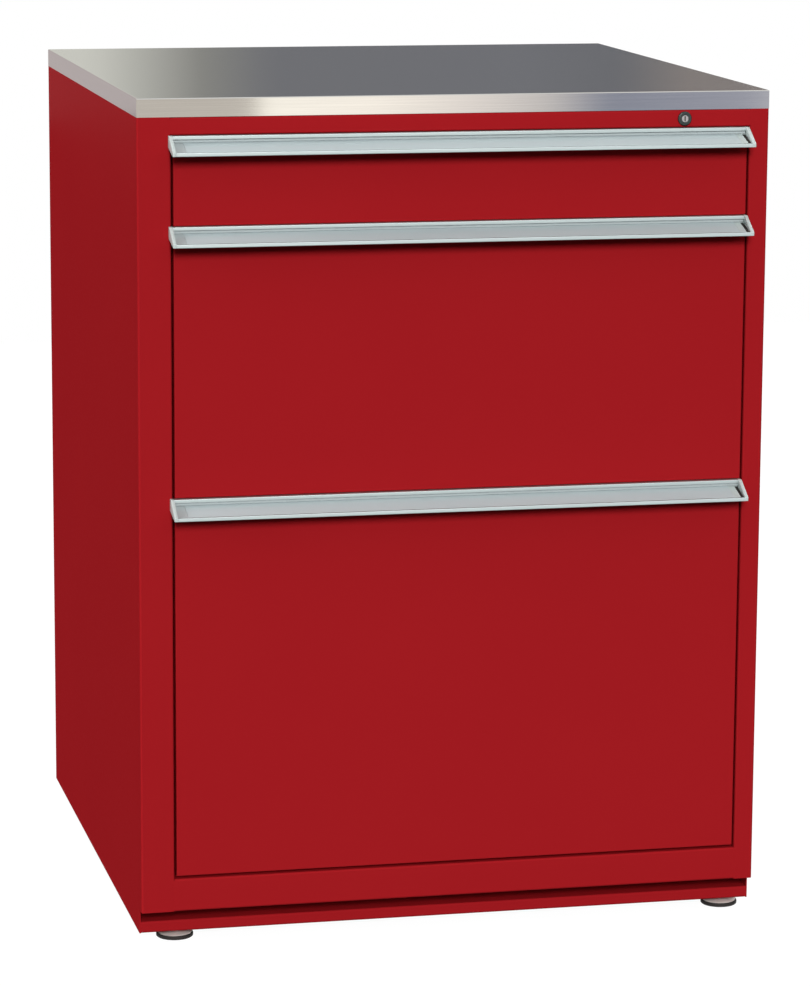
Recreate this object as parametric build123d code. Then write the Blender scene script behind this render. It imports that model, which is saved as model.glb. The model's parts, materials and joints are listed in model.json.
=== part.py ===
from build123d import *
import os
from math import cos, radians, sin

# A free-standing steel drawer cabinet, in millimetres.
# The front faces -Y, +X is to the right, +Z is up, and the floor is at zero.

# Overall size: across the front, front plane to back plane, floor to worktop
WIDTH = 762.0
DEPTH = 762.0
HEIGHT = 1016.0

# Folded sheet steel of the carcass
SHEET = 1.5
BEND_INSIDE = 1.0
STILE_LEFT = 40.0
STILE_RIGHT = 24.0
STILE_RETURN = 25.0
REAR_FLANGE = 25.0
RAIL_FLANGE = 25.0
RAIL_WELD = 1.8
RAIL_WELD_DEPTH = 1.0
RAIL_WELD_FIT = 0.02
PANEL_FLANGE = 20.0
TOP_RAIL = 21.0
BOTTOM_RAIL = 40.0

# Recessed plinth, stepped back above its toe rail, and the levelling feet below it
FOOT_CLEARANCE = 13.0
PLINTH_HEIGHT = 30.0
PLINTH_DEPTH = 60.0
TOE_RECESS = 18.0
TOE_RAIL = 14.0
TOE_STEP = 44.0
FOOT_INSET_LEFT = 47.0
FOOT_INSET_RIGHT = 28.0
FOOT_INSET_DEEP = 45.0
FOOT_RADIUS = 22.5
FOOT_RIM = 3.5
FOOT_HEIGHT = 8.0
FOOT_HUB = 9.0
FOOT_DOME = 1.2
FOOT_CHAMFER = 1.0
STEM_RADIUS = 5.0
STEM_TOP = 24.5
STEM_BOTTOM = 3.0
STEM_COLLAR = 4.0
STEM_COLLAR_RADIUS = 8.5
NUT_RADIUS = 9.8
NUT_HEIGHT = 8.0
THREAD_FIT = 0.08

# Worktop: stainless skin folded round a board
WORKTOP_EDGE = 22.0
WORKTOP_SKIN = 1.2
WORKTOP_LIP = 18.0
WORKTOP_ROUND = 1.5
CORNER_SEAM = 0.8
SCREW_INSET = 80.0
SCREW_RADIUS = 2.4
SCREW_HEAD = 5.0
SCREW_HEAD_HEIGHT = 3.0
SCREW_DEPTH = 12.0
SCREW_FIT = 0.15

# Drawer fronts, from the top down; the bottom one takes what is left
TOP_FRONT = 102.9
MIDDLE_FRONT = 318.4
FRONT_GAP = 2.6
BOTTOM_GAP = 3.6
FRONT_DEPTH = 20.0
FRONT_LIP = 32.0
FRONT_ROUND = 1.2
DRAWER_SHEET = 1.2

# Drawer boxes
BOX_REAR_SPACE = 49.0
BOX_RAISE = 8.0
BOX_DROP = 14.4
BOX_HEM = 9.0

# Pull handle: an extrusion with a sloped channel for a label strip
HANDLE_OUT = 36.0
HANDLE_RISE = 2.5
HANDLE_OVERHANG = 6.1
HANDLE_DROP = 21.4
HANDLE_WALL = 3.0
HANDLE_PLATE = 1.5
HANDLE_FLANGE = 22.0
HANDLE_LIP = 4.0
HANDLE_LIP_OUT = 8.0
HANDLE_CHANNEL = 9.3
HANDLE_SLOPE = 9.0
HANDLE_EDGE = 1.5
HANDLE_ROUND = 0.9
HANDLE_FINGER_ROUND = 3.0
CAP_THICK = 4.0
CAP_WALL = 14.0
CAP_STANDOFF = 0.4
LABEL_THICK = 1.2
LABEL_FIT = 0.3
LABEL_GAP_LEFT = 13.0
LABEL_GAP_RIGHT = 12.0
LABEL_SLOT_WIDTH = 4.0
LABEL_SLOT_START = 9.5
LABEL_SLOT_STOP = 30.0
HANDLE_SCREWS = 5
HANDLE_SCREW_INSET = 40.0
HANDLE_SCREW_DROP = 15.0
HANDLE_SCREW_RADIUS = 2.0
HANDLE_SCREW_HEAD = 4.0
HANDLE_SCREW_HEAD_HEIGHT = 2.4

# Telescopic runners, nested channels with bearing strips between their flanges
RUNNER_THICK = 13.0
RUNNER_HEIGHT = 45.0
RUNNER_STEEL = 1.2
RUNNER_SETBACK = 18.0
RUNNER_END = 4.0
RUNNER_UP = 36.0
RUNNER_GAP = 0.25
FIXED_FLANGE = 9.5
MIDDLE_WEB = 3.0
MIDDLE_FLANGE = 8.0
SLIDE_FLANGE = 7.0
BEARING = 2.0
BEARING_WIDTH = 4.5
BEARING_INSET = 5.0
BEARING_SHORT = 35.0

# Slotted posts that carry the runners
POST_DEPTH = 50.0
POST_SETBACK = 30.0
POST_REAR_SETBACK = 60.0
POST_SLOT_PITCH = 50.8
POST_SLOT_HEIGHT = 16.0
POST_SLOT_WIDTH = 5.0

# Cam lock in the top rail, with a rod to a bar at the back
LOCK_INSET = 105.0
LOCK_BEZEL = 8.5
LOCK_BEZEL_OUT = 3.0
LOCK_BEZEL_CHAMFER = 1.0
LOCK_BARREL = 5.6
LOCK_BARREL_LENGTH = 28.0
LOCK_FIT = 0.1
LOCK_NUT = 7.4
LOCK_NUT_THICK = 4.0
PLUG_RADIUS = 4.0
PLUG_SUNK = 0.4
PLUG_TAIL = 2.0
KEYWAY_WIDTH = 1.6
KEYWAY_HEIGHT = 6.0
KEYWAY_DEPTH = 12.0
LOCK_TURN = 90.0
ROD_RADIUS = 3.5
CRANK_RADIUS = 9.0
CRANK_WIDTH = 10.0
CRANK_THICK = 3.0
PIN_RADIUS = 3.0
PIN_FIT = 0.5
HANGER_WIDTH = 24.0
HANGER_DROP = 8.0
HANGER_FOOT = 15.0
HANGER_SHARES = (0.2, 0.75)

# Lock bar across the drawer backs
BAR_SETBACK = 12.5
BAR_WIDTH = 26.0
BAR_THICK = 2.5
BAR_ABOVE_LOCK = 2.0
BAR_BELOW_STUD = 20.0
FINGER_DROP = 30.0
FINGER_HEIGHT = 16.0
FINGER_REACH = 14.0
FINGER_GAP = 5.5
CATCH_SHEET = 2.0
CATCH_FOOT = 16.0
CATCH_OUT = 12.0
CATCH_LIP = 14.0
CATCH_CLEARANCE = 2.5
STUD_DROP = 40.0
STUD_RADIUS = 3.0
STUD_HEAD = 7.0
STUD_HEAD_THICK = 2.0
STUD_FIT = 0.3

# Cutting tools reach this far past what they cut
OVERRUN = 5.0

# Places worked out from the sizes above
left = -WIDTH / 2
right = WIDTH / 2
front = (HANDLE_OUT - DEPTH) / 2
back = front + DEPTH
back_face = back - 2 * SHEET
bend = SHEET + BEND_INSIDE
body_bottom = FOOT_CLEARANCE + PLINTH_HEIGHT
opening_bottom = body_bottom + BOTTOM_RAIL
body_top = HEIGHT - WORKTOP_EDGE
opening_top = body_top - TOP_RAIL
opening_left = left + STILE_LEFT
opening_right = right - STILE_RIGHT
front_left = opening_left + FRONT_GAP
front_right = opening_right - FRONT_GAP
handle_left = front_left - HANDLE_OVERHANG
box_left = opening_left + RUNNER_THICK
box_right = opening_right - RUNNER_THICK
box_front = front + FRONT_DEPTH
box_back = back_face - BOX_REAR_SPACE
runner_front = box_front + RUNNER_SETBACK
runner_back = box_back - RUNNER_END
lock_x = right - LOCK_INSET
lock_z = (opening_top + body_top) / 2
half_turn = radians(LOCK_TURN / 2)
bar_travel = 2 * CRANK_RADIUS * sin(half_turn)
bar_x = lock_x + bar_travel / 2
bar_right = bar_x + BAR_WIDTH / 2
bar_back = back_face - BAR_SETBACK
bar_front = bar_back - BAR_THICK

top_z = (opening_top - FRONT_GAP - TOP_FRONT, opening_top - FRONT_GAP)
middle_z = (top_z[0] - FRONT_GAP - MIDDLE_FRONT, top_z[0] - FRONT_GAP)
bottom_z = (opening_bottom + BOTTOM_GAP, middle_z[0] - FRONT_GAP)
drawers = {"top": top_z, "middle": middle_z, "bottom": bottom_z}
feet_x = {"left": left + FOOT_INSET_LEFT, "right": right - FOOT_INSET_RIGHT}
feet_y = {"front": front + FOOT_INSET_DEEP, "rear": back - FOOT_INSET_DEEP}


def span_box(x_span, y_span, z_span):
    """A block given by its lowest and highest place along each axis."""
    spans = (x_span, y_span, z_span)
    corner = [low for low, high in spans]
    sizes = [high - low for low, high in spans]
    return Pos(*corner) * Box(*sizes, align=(Align.MIN, Align.MIN, Align.MIN))


def extrude_between(face, plane, start, stop):
    """Moves a flat outline to its plane and extrudes it from start to stop along that axis."""
    facing = plane.z_dir.X + plane.z_dir.Y + plane.z_dir.Z
    return extrude(plane.offset(facing * start) * face, amount=facing * (stop - start))


def folded_sheet(points, plane, start, stop, thickness=SHEET, inside=BEND_INSIDE):
    """Sheet bent along a path of its outer face, with the metal on the path's left."""
    path = FilletPolyline(*points, radius=thickness + inside)
    section = make_face(offset(path, amount=thickness, side=Side.LEFT))
    return extrude_between(section, plane, start, stop)


def channel_points(web, tips, low, high):
    """A C of two flanges and a web, opening from the web towards the flange tips."""
    if tips > web:
        return [(tips, high), (web, high), (web, low), (tips, low)]
    return [(tips, low), (web, low), (web, high), (tips, high)]


def rod_along_y(x, z, y_span, radius):
    """A round bar from front to back."""
    length = y_span[1] - y_span[0]
    bar = Cylinder(radius, length, align=(Align.CENTER, Align.CENTER, Align.MIN))
    return Pos(x, y_span[0], z) * Rot(X=-90) * bar


def rod_upright(x, y, z_span, radius):
    """A round bar standing along Z."""
    length = z_span[1] - z_span[0]
    return Pos(x, y, z_span[0]) * Cylinder(radius, length, align=(Align.CENTER, Align.CENTER, Align.MIN))


def turned(points):
    """Turns an outline of radius and height about the Z axis."""
    return revolve(Plane.XZ * make_face(Polyline(*points, close=True)), axis=Axis.Z)


def both_sides(piece):
    """A piece made for the left of the drawer opening, and its mirror image for the right."""
    other = Pos(opening_left + opening_right, 0, 0) * mirror(piece, about=Plane.YZ)
    return [piece, other]


def save(name, *solids):
    """Writes one node, of one solid or of a group of like ones."""
    shape = solids[0] if len(solids) == 1 else Compound(children=list(solids))
    export_step(shape, os.path.join("parts", name + ".step"))


def side_panel(stile):
    """The left side: rear flange, side, front stile and its return, notched for the toe space."""
    edge = left + stile
    points = [
        (left + REAR_FLANGE, back),
        (left, back),
        (left, front),
        (edge, front),
        (edge, front + STILE_RETURN),
    ]
    panel = folded_sheet(points, Plane.XY, FOOT_CLEARANCE, body_top)
    below = (FOOT_CLEARANCE - OVERRUN, body_bottom)
    panel -= span_box((left - OVERRUN, edge + OVERRUN), (front - OVERRUN, front + TOE_RECESS), below)
    deep_cut = (front - OVERRUN, front + STILE_RETURN + OVERRUN)
    return panel - span_box((left + SHEET, edge + OVERRUN), deep_cut, below)


def rail(low, high):
    """A front rail between the stiles, folded back along its top and bottom, welded flush at both ends."""
    points = channel_points(front, front + RAIL_FLANGE, low, high)
    bar = folded_sheet(points, Plane.YZ, opening_left, opening_right)
    flat = (low + SHEET, high - SHEET)
    deep = (front, front + RAIL_WELD_DEPTH)
    bead = span_box((opening_left - RAIL_WELD, opening_left), deep, flat)
    bead -= rod_upright(opening_left - bend, front + bend, flat, bend + RAIL_WELD_FIT)
    return bar + both_sides(bead)


def back_panel():
    """A flat sheet held in front of the side panels' rear flanges, clear of their bends."""
    return span_box((left + bend, right - bend), (back_face, back_face + SHEET), (body_bottom, body_top))


def floor_panel():
    """The cabinet floor, turned up along the back panel."""
    points = [
        (front + RAIL_FLANGE, body_bottom),
        (back_face, body_bottom),
        (back_face, body_bottom + PANEL_FLANGE),
    ]
    return folded_sheet(points, Plane.YZ, left + SHEET, right - SHEET)


def top_panel():
    """The panel under the worktop, turned down along the back panel, drilled for the worktop screws."""
    points = [
        (back_face, body_top - PANEL_FLANGE),
        (back_face, body_top),
        (front + RAIL_FLANGE, body_top),
    ]
    panel = folded_sheet(points, Plane.YZ, left + SHEET, right - SHEET)
    through = (body_top - SHEET - OVERRUN, body_top + OVERRUN)
    for x, y in worktop_screw_places():
        panel -= rod_upright(x, y, through, SCREW_RADIUS + SCREW_FIT)
    return panel


def toe_points():
    """The front channel's outline: a low toe rail, and above it a face set further back."""
    toe = front + TOE_RECESS
    tips = toe + PLINTH_DEPTH
    ledge = FOOT_CLEARANCE + TOE_RAIL
    return [
        (tips, body_bottom),
        (toe + TOE_STEP, body_bottom),
        (toe + TOE_STEP, ledge),
        (toe, ledge),
        (toe, FOOT_CLEARANCE),
        (tips, FOOT_CLEARANCE),
    ]


def heel_points():
    """The rear channel's outline, a plain C."""
    heel = back - SHEET
    return channel_points(heel, heel - PLINTH_DEPTH, FOOT_CLEARANCE, body_bottom)


def plinth_channel(points, y, inset):
    """A base channel between the sides, with a weld nut over the hole for each foot's stem."""
    channel = folded_sheet(points, Plane.YZ, left + inset, right - inset)
    nut_low = FOOT_CLEARANCE + SHEET
    for x in feet_x.values():
        hexagon = RegularPolygon(NUT_RADIUS, 6)
        channel += Pos(x, y, nut_low) * extrude(hexagon, amount=NUT_HEIGHT)
        bore = (FOOT_CLEARANCE - OVERRUN, nut_low + NUT_HEIGHT + THREAD_FIT)
        channel -= rod_upright(x, y, bore, STEM_RADIUS + THREAD_FIT)
    return channel


def runner_post(stile, y):
    """A slotted upright channel on the left side panel, flush with the stile's inner edge."""
    face = left + stile
    wall = left + SHEET
    points = [(wall, y), (face, y), (face, y + POST_DEPTH), (wall, y + POST_DEPTH)]
    low = body_bottom + SHEET
    high = body_top - SHEET
    post = folded_sheet(points, Plane.XY, low, high)
    count = int((high - low) / POST_SLOT_PITCH) - 1
    middle = y + POST_DEPTH / 2
    slot = span_box(
        (face - SHEET - OVERRUN, face + OVERRUN),
        (middle - POST_SLOT_WIDTH / 2, middle + POST_SLOT_WIDTH / 2),
        (low, low + POST_SLOT_HEIGHT),
    )
    slots = [Pos(0, 0, POST_SLOT_PITCH * (step + 1)) * slot for step in range(count)]
    return post - slots


def runner_posts():
    """Front and rear posts on both sides."""
    places = (front + POST_SETBACK, back_face - POST_REAR_SETBACK - POST_DEPTH)
    posts = [runner_post(STILE_LEFT, y) for y in places]
    return posts + [mirror(runner_post(STILE_RIGHT, y), about=Plane.YZ) for y in places]


def worktop_screw_places():
    """The four screws that hold the worktop down, in from its corners."""
    across = (left + SCREW_INSET, right - SCREW_INSET)
    deep = (front + SCREW_INSET, back - SCREW_INSET)
    return [(x, y) for x in across for y in deep]


def worktop_skin():
    """Stainless sheet folded down round the board and in under it, with an open seam at each corner."""
    skin = span_box((left, right), (front, back), (body_top, HEIGHT))
    top_edges = skin.faces().sort_by(Axis.Z)[-1].edges()
    skin = fillet(top_edges, WORKTOP_ROUND)
    skin -= worktop_board()
    lip = WORKTOP_LIP
    mouth = (body_top - OVERRUN, body_top + WORKTOP_SKIN + OVERRUN)
    skin -= span_box((left + lip, right - lip), (front + lip, back - lip), mouth)
    seam = (body_top - OVERRUN, HEIGHT - WORKTOP_SKIN)
    for x in (left, right):
        for y in (front, back):
            corner_x = (x - CORNER_SEAM, x + CORNER_SEAM)
            corner_y = (y - CORNER_SEAM, y + CORNER_SEAM)
            skin -= span_box(corner_x, corner_y, seam)
    return skin


def worktop_board():
    """The board's block, which fills the skin."""
    wall = WORKTOP_SKIN
    deep = (front + wall, back - wall)
    return span_box((left + wall, right - wall), deep, (body_top + wall, HEIGHT - wall))


def worktop_core():
    """The board inside the worktop, with its screw holes."""
    board = worktop_board()
    hole = (body_top - OVERRUN, body_top + SCREW_DEPTH)
    for x, y in worktop_screw_places():
        board -= rod_upright(x, y, hole, SCREW_RADIUS + SCREW_FIT)
    return board


def worktop_screws():
    """Screws up through the top panel into the board."""
    seat = body_top - SHEET
    screws = []
    for x, y in worktop_screw_places():
        head = rod_upright(x, y, (seat - SCREW_HEAD_HEIGHT, seat), SCREW_HEAD)
        screws.append(head + rod_upright(x, y, (seat, body_top + SCREW_DEPTH), SCREW_RADIUS))
    return screws


def foot_pad(x, y):
    """A turned foot: a flat base, a low dome and a hub that takes the stem."""
    inner = FOOT_RADIUS - FOOT_CHAMFER
    outline = [
        Line((0, 0), (inner, 0)),
        Line((inner, 0), (FOOT_RADIUS, FOOT_CHAMFER)),
        Line((FOOT_RADIUS, FOOT_CHAMFER), (FOOT_RADIUS, FOOT_RIM)),
        SagittaArc((FOOT_RADIUS, FOOT_RIM), (FOOT_HUB, FOOT_HEIGHT), -FOOT_DOME),
        Line((FOOT_HUB, FOOT_HEIGHT), (0, FOOT_HEIGHT)),
        Line((0, FOOT_HEIGHT), (0, 0)),
    ]
    pad = revolve(Plane.XZ * make_face(outline), axis=Axis.Z)
    pad -= rod_upright(0, 0, (STEM_BOTTOM, FOOT_HEIGHT + OVERRUN), STEM_RADIUS + THREAD_FIT)
    return Pos(x, y, 0) * pad


def foot_stem(x, y):
    """The threaded stem with its spanner collar."""
    collar = extrude(RegularPolygon(STEM_COLLAR_RADIUS, 6), amount=STEM_COLLAR)
    stem = rod_upright(0, 0, (STEM_BOTTOM, STEM_TOP), STEM_RADIUS)
    return Pos(x, y, 0) * (stem + Pos(0, 0, FOOT_HEIGHT) * collar)


def handle_places():
    """The handle screws' places along the drawer front."""
    start = front_left + HANDLE_SCREW_INSET
    step = (front_right - HANDLE_SCREW_INSET - start) / (HANDLE_SCREWS - 1)
    return [start + step * number for number in range(HANDLE_SCREWS)]


def drawer_front(z_span):
    """A hollow folded front: face, four returns, and lips that the box is fixed to."""
    low, high = z_span
    wall = DRAWER_SHEET
    pan = span_box((front_left, front_right), (front, box_front), z_span)
    pan = fillet(pan.faces().sort_by(Axis.Y)[0].edges(), FRONT_ROUND)
    inside_x = (front_left + wall, front_right - wall)
    pan -= span_box(inside_x, (front + wall, box_front - wall), (low + wall, high - wall))
    window_x = (front_left + FRONT_LIP, front_right - FRONT_LIP)
    window_y = (box_front - wall - OVERRUN, box_front + OVERRUN)
    pan -= span_box(window_x, window_y, (low + FRONT_LIP, high - FRONT_LIP))
    hole_y = (front - OVERRUN, front + wall + OVERRUN)
    for x in handle_places():
        hole_z = high + HANDLE_RISE - HANDLE_SCREW_DROP
        pan -= rod_along_y(x, hole_z, hole_y, HANDLE_SCREW_RADIUS + SCREW_FIT)
    return pan


def box_span(z_span):
    """The heights of a drawer box's bottom and rim."""
    return z_span[0] + BOX_RAISE, z_span[1] - BOX_DROP


def drawer_box(z_span):
    """A folded tray with a hem turned in along its rim."""
    low, high = box_span(z_span)
    wall = DRAWER_SHEET
    tray = span_box((box_left, box_right), (box_front, box_back), (low, high))
    inside_x = (box_left + wall, box_right - wall)
    inside_y = (box_front + wall, box_back - wall)
    tray -= span_box(inside_x, inside_y, (low + wall, high - wall))
    mouth_x = (box_left + BOX_HEM, box_right - BOX_HEM)
    mouth_y = (box_front + BOX_HEM, box_back - BOX_HEM)
    return tray - span_box(mouth_x, mouth_y, (high - wall - OVERRUN, high + OVERRUN))


def slope_at(out):
    """How far below the handle's top its channel floor lies, at a distance out from the drawer front."""
    run = HANDLE_OUT - 2 * HANDLE_WALL
    return HANDLE_CHANNEL + HANDLE_SLOPE * (out - HANDLE_WALL) / run


def handle_face(top, corners):
    """A section of the handle in Y and Z, from corners given as distances out and down, its nose rounded."""
    points = [(front - out, top - drop) for out, drop in corners]
    section = make_face(Polyline(*points, close=True))
    nose = HANDLE_OUT - HANDLE_WALL
    nose_top = slope_at(nose) - HANDLE_EDGE
    rounded = [(HANDLE_LIP_OUT, 0), (HANDLE_OUT, nose_top), (HANDLE_OUT, HANDLE_DROP), (nose, HANDLE_DROP)]
    for out, drop in rounded:
        corner = section.vertices().sort_by_distance((front - out, top - drop))[0]
        section = fillet(corner, HANDLE_ROUND)
    return section


def handle_section(top):
    """The extrusion's section: an upper lip, a groove, the sloped label channel and a nose to pull on."""
    nose = HANDLE_OUT - HANDLE_WALL
    nose_top = slope_at(nose) - HANDLE_EDGE
    corners = [
        (0, 0),
        (HANDLE_LIP_OUT, 0),
        (HANDLE_LIP_OUT, HANDLE_LIP),
        (HANDLE_WALL, HANDLE_LIP),
        (HANDLE_WALL, HANDLE_CHANNEL),
        (nose, slope_at(nose)),
        (nose, nose_top),
        (HANDLE_OUT, nose_top),
        (HANDLE_OUT, HANDLE_DROP),
        (nose, HANDLE_DROP),
        (nose, slope_at(nose) + HANDLE_PLATE),
        (HANDLE_WALL, HANDLE_CHANNEL + HANDLE_PLATE),
        (HANDLE_WALL, HANDLE_FLANGE),
        (0, HANDLE_FLANGE),
    ]
    section = handle_face(top, corners)
    crook = (front - HANDLE_WALL, top - HANDLE_CHANNEL - HANDLE_PLATE)
    return fillet(section.vertices().sort_by_distance(crook)[0], HANDLE_FINGER_ROUND)


def cap_section(top):
    """An end cap's section, straight from the lip to the nose and back under it, clear of the stile."""
    nose = HANDLE_OUT - HANDLE_WALL
    nose_top = slope_at(nose) - HANDLE_EDGE
    corners = [
        (CAP_STANDOFF, 0),
        (HANDLE_LIP_OUT, 0),
        (HANDLE_OUT, nose_top),
        (HANDLE_OUT, HANDLE_DROP),
        (nose, HANDLE_DROP),
        (CAP_STANDOFF, CAP_WALL),
    ]
    return handle_face(top, corners)


def handle_top(z_span):
    """The handle's top edge, just above the drawer front's."""
    return z_span[1] + HANDLE_RISE


def handle(z_span):
    """The extruded pull, drilled for its screws, with a slot at its right end to push the label out."""
    top = handle_top(z_span)
    stop = front_right - CAP_THICK
    pull = extrude_between(handle_section(top), Plane.YZ, handle_left + CAP_THICK, stop)
    slot_x = (stop - LABEL_SLOT_WIDTH, stop + OVERRUN)
    slot_y = (front - LABEL_SLOT_STOP, front - LABEL_SLOT_START)
    pull -= span_box(slot_x, slot_y, (top - HANDLE_DROP - OVERRUN, top))
    hole_y = (front - HANDLE_WALL - OVERRUN, front + OVERRUN)
    for x in handle_places():
        pull -= rod_along_y(x, top - HANDLE_SCREW_DROP, hole_y, HANDLE_SCREW_RADIUS + SCREW_FIT)
    return pull


def handle_caps(z_span):
    """The caps that close the label channel at both ends of the pull."""
    section = cap_section(handle_top(z_span))
    starts = (handle_left, front_right - CAP_THICK)
    return [extrude_between(section, Plane.YZ, start, start + CAP_THICK) for start in starts]


def label_strip(z_span):
    """The strip that lies in the channel, short of both caps."""
    top = handle_top(z_span)
    upper = HANDLE_WALL + LABEL_FIT
    lower = HANDLE_OUT - HANDLE_WALL - LABEL_FIT
    corners = [
        (upper, slope_at(upper)),
        (lower, slope_at(lower)),
        (lower, slope_at(lower) - LABEL_THICK),
        (upper, slope_at(upper) - LABEL_THICK),
    ]
    points = [(front - out, top - drop) for out, drop in corners]
    start = handle_left + CAP_THICK + LABEL_GAP_LEFT
    stop = front_right - CAP_THICK - LABEL_GAP_RIGHT
    return extrude_between(make_face(Polyline(*points, close=True)), Plane.YZ, start, stop)


def handle_screws(z_span):
    """Screws from inside the hollow front into the pull."""
    z = handle_top(z_span) - HANDLE_SCREW_DROP
    seat = front + DRAWER_SHEET
    screws = []
    for x in handle_places():
        shank = rod_along_y(x, z, (front - HANDLE_WALL, seat), HANDLE_SCREW_RADIUS)
        head = rod_along_y(x, z, (seat, seat + HANDLE_SCREW_HEAD_HEIGHT), HANDLE_SCREW_HEAD)
        screws.append(shank + head)
    return screws


def runner_height(z_span):
    """The height of a drawer's runners, up from its box's bottom."""
    return box_span(z_span)[0] + RUNNER_UP


def runner_halves():
    """Half heights of the fixed, middle and drawer members, nested with a bearing strip between."""
    fixed = RUNNER_HEIGHT / 2
    step = RUNNER_STEEL + RUNNER_GAP + BEARING
    return fixed, fixed - step, fixed - 2 * step


def runner_member(web, tips, half, z):
    """One channel of a runner, made for the left side."""
    points = channel_points(web, tips, z - half, z + half)
    return folded_sheet(points, Plane.XZ, runner_front, runner_back, RUNNER_STEEL)


def fixed_runners(z_span):
    """The pair screwed to the posts."""
    half = runner_halves()[0]
    tips = opening_left + FIXED_FLANGE
    return both_sides(runner_member(opening_left, tips, half, runner_height(z_span)))


def middle_runners(z_span):
    """The pair that travels half as far as the drawer."""
    web = opening_left + MIDDLE_WEB
    half = runner_halves()[1]
    return both_sides(runner_member(web, web + MIDDLE_FLANGE, half, runner_height(z_span)))


def drawer_runners(z_span):
    """The pair fixed to the sides of the drawer box."""
    half = runner_halves()[2]
    tips = box_left - SLIDE_FLANGE
    return both_sides(runner_member(box_left, tips, half, runner_height(z_span)))


def runner_bearings(z_span):
    """Low-friction strips on the middle member: outside its rear half, inside its front half."""
    z = runner_height(z_span)
    middle_half = runner_halves()[1]
    web_face = opening_left + MIDDLE_WEB + RUNNER_STEEL
    tips = opening_left + MIDDLE_WEB + MIDDLE_FLANGE
    x = (web_face + tips) / 2
    length = (runner_back - runner_front) / 2 - BEARING_INSET - BEARING_SHORT
    strip = extrude(SlotOverall(length, BEARING_WIDTH, rotation=90), amount=BEARING)
    rear_y = runner_back - BEARING_INSET - length / 2
    front_y = runner_front + BEARING_INSET + length / 2
    inner = middle_half - RUNNER_STEEL
    places = [
        (rear_y, z + middle_half),
        (rear_y, z - middle_half - BEARING),
        (front_y, z + inner - BEARING),
        (front_y, z - inner),
    ]
    strips = []
    for y, low in places:
        strips += both_sides(Pos(x, y, low) * strip)
    return strips


def finger_height(z_span):
    """The middle of a drawer's lock finger and catch."""
    return box_span(z_span)[1] - FINGER_DROP


def drawer_catch(z_span):
    """A bracket on the back of the drawer box, whose lip the lock finger slides behind."""
    lip_end = bar_right - FINGER_REACH - CATCH_CLEARANCE
    leg = lip_end - CATCH_LIP
    lip = box_back + CATCH_OUT
    points = [(leg - CATCH_FOOT, box_back), (leg, box_back), (leg, lip), (lip_end, lip)]
    z = finger_height(z_span)
    half = FINGER_HEIGHT / 2
    return folded_sheet(points, Plane.XY, z - half, z + half, CATCH_SHEET)


def lock_bar():
    """The sliding bar: a slot for the crank pin, slots for its studs, and a finger at each drawer."""
    heights = [finger_height(z_span) for z_span in drawers.values()]
    low = min(heights) - STUD_DROP - BAR_BELOW_STUD
    high = lock_z + BAR_ABOVE_LOCK
    bar = span_box((bar_x - BAR_WIDTH / 2, bar_right), (bar_front, bar_back), (low, high))
    cut_y = (bar_front - OVERRUN, bar_back + OVERRUN)
    pin_low = lock_z - CRANK_RADIUS
    pin_high = lock_z - CRANK_RADIUS * cos(half_turn)
    room = PIN_RADIUS + PIN_FIT
    pin_slot = SlotOverall(pin_high - pin_low + 2 * room, 2 * room, rotation=90)
    pin_slot = Pos(bar_x, (pin_low + pin_high) / 2) * pin_slot
    bar -= extrude_between(pin_slot, Plane.XZ, *cut_y)
    stud_room = STUD_RADIUS + STUD_FIT
    stud_slot = SlotOverall(bar_travel + 2 * stud_room, 2 * stud_room)
    for z in heights:
        bar -= extrude_between(Pos(bar_x, z - STUD_DROP) * stud_slot, Plane.XZ, *cut_y)
        bar += lock_finger(z)
    return bar


def lock_finger(z):
    """A hooked finger reaching forward from the bar's right edge."""
    tip = box_back + FINGER_GAP
    points = [(bar_right - FINGER_REACH, tip), (bar_right, tip), (bar_right, bar_front)]
    half = FINGER_HEIGHT / 2
    return folded_sheet(points, Plane.XY, z - half, z + half, BAR_THICK)


def lock_bar_studs():
    """Shouldered studs on the back panel that the bar's slots run on."""
    collar = STUD_HEAD
    bar_seat = back_face - bar_back - STUD_FIT
    head_seat = back_face - bar_front + STUD_FIT
    tip = head_seat + STUD_HEAD_THICK
    outline = [
        (0, 0),
        (collar, 0),
        (collar, bar_seat),
        (STUD_RADIUS, bar_seat),
        (STUD_RADIUS, head_seat),
        (STUD_HEAD, head_seat),
        (STUD_HEAD, tip),
        (0, tip),
    ]
    stud = Rot(X=90) * turned(outline)
    places = [finger_height(z_span) - STUD_DROP for z_span in drawers.values()]
    return [Pos(lock_x, back_face, z) * stud for z in places]


def lock_cylinder():
    """The fixed barrel and its bevelled bezel, bored for the plug."""
    bevel = LOCK_BEZEL - LOCK_BEZEL_CHAMFER
    bore = PLUG_RADIUS + LOCK_FIT
    outline = [
        (bore, -LOCK_BEZEL_OUT),
        (bevel, -LOCK_BEZEL_OUT),
        (LOCK_BEZEL, LOCK_BEZEL_CHAMFER - LOCK_BEZEL_OUT),
        (LOCK_BEZEL, 0),
        (LOCK_BARREL, 0),
        (LOCK_BARREL, LOCK_BARREL_LENGTH),
        (bore, LOCK_BARREL_LENGTH),
    ]
    return Pos(lock_x, front, lock_z) * Rot(X=-90) * turned(outline)


def lock_nut():
    """The ring nut that clamps the barrel to the rail."""
    outer = rod_along_y(lock_x, lock_z, (front + SHEET, front + SHEET + LOCK_NUT_THICK), LOCK_NUT)
    return outer - rod_along_y(lock_x, lock_z, (front, front + LOCK_BARREL_LENGTH), LOCK_BARREL + LOCK_FIT)


def top_rail():
    """The upper rail, drilled for the lock barrel."""
    hole = (front - OVERRUN, front + SHEET + OVERRUN)
    return rail(opening_top, body_top) - rod_along_y(lock_x, lock_z, hole, LOCK_BARREL + LOCK_FIT)


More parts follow.
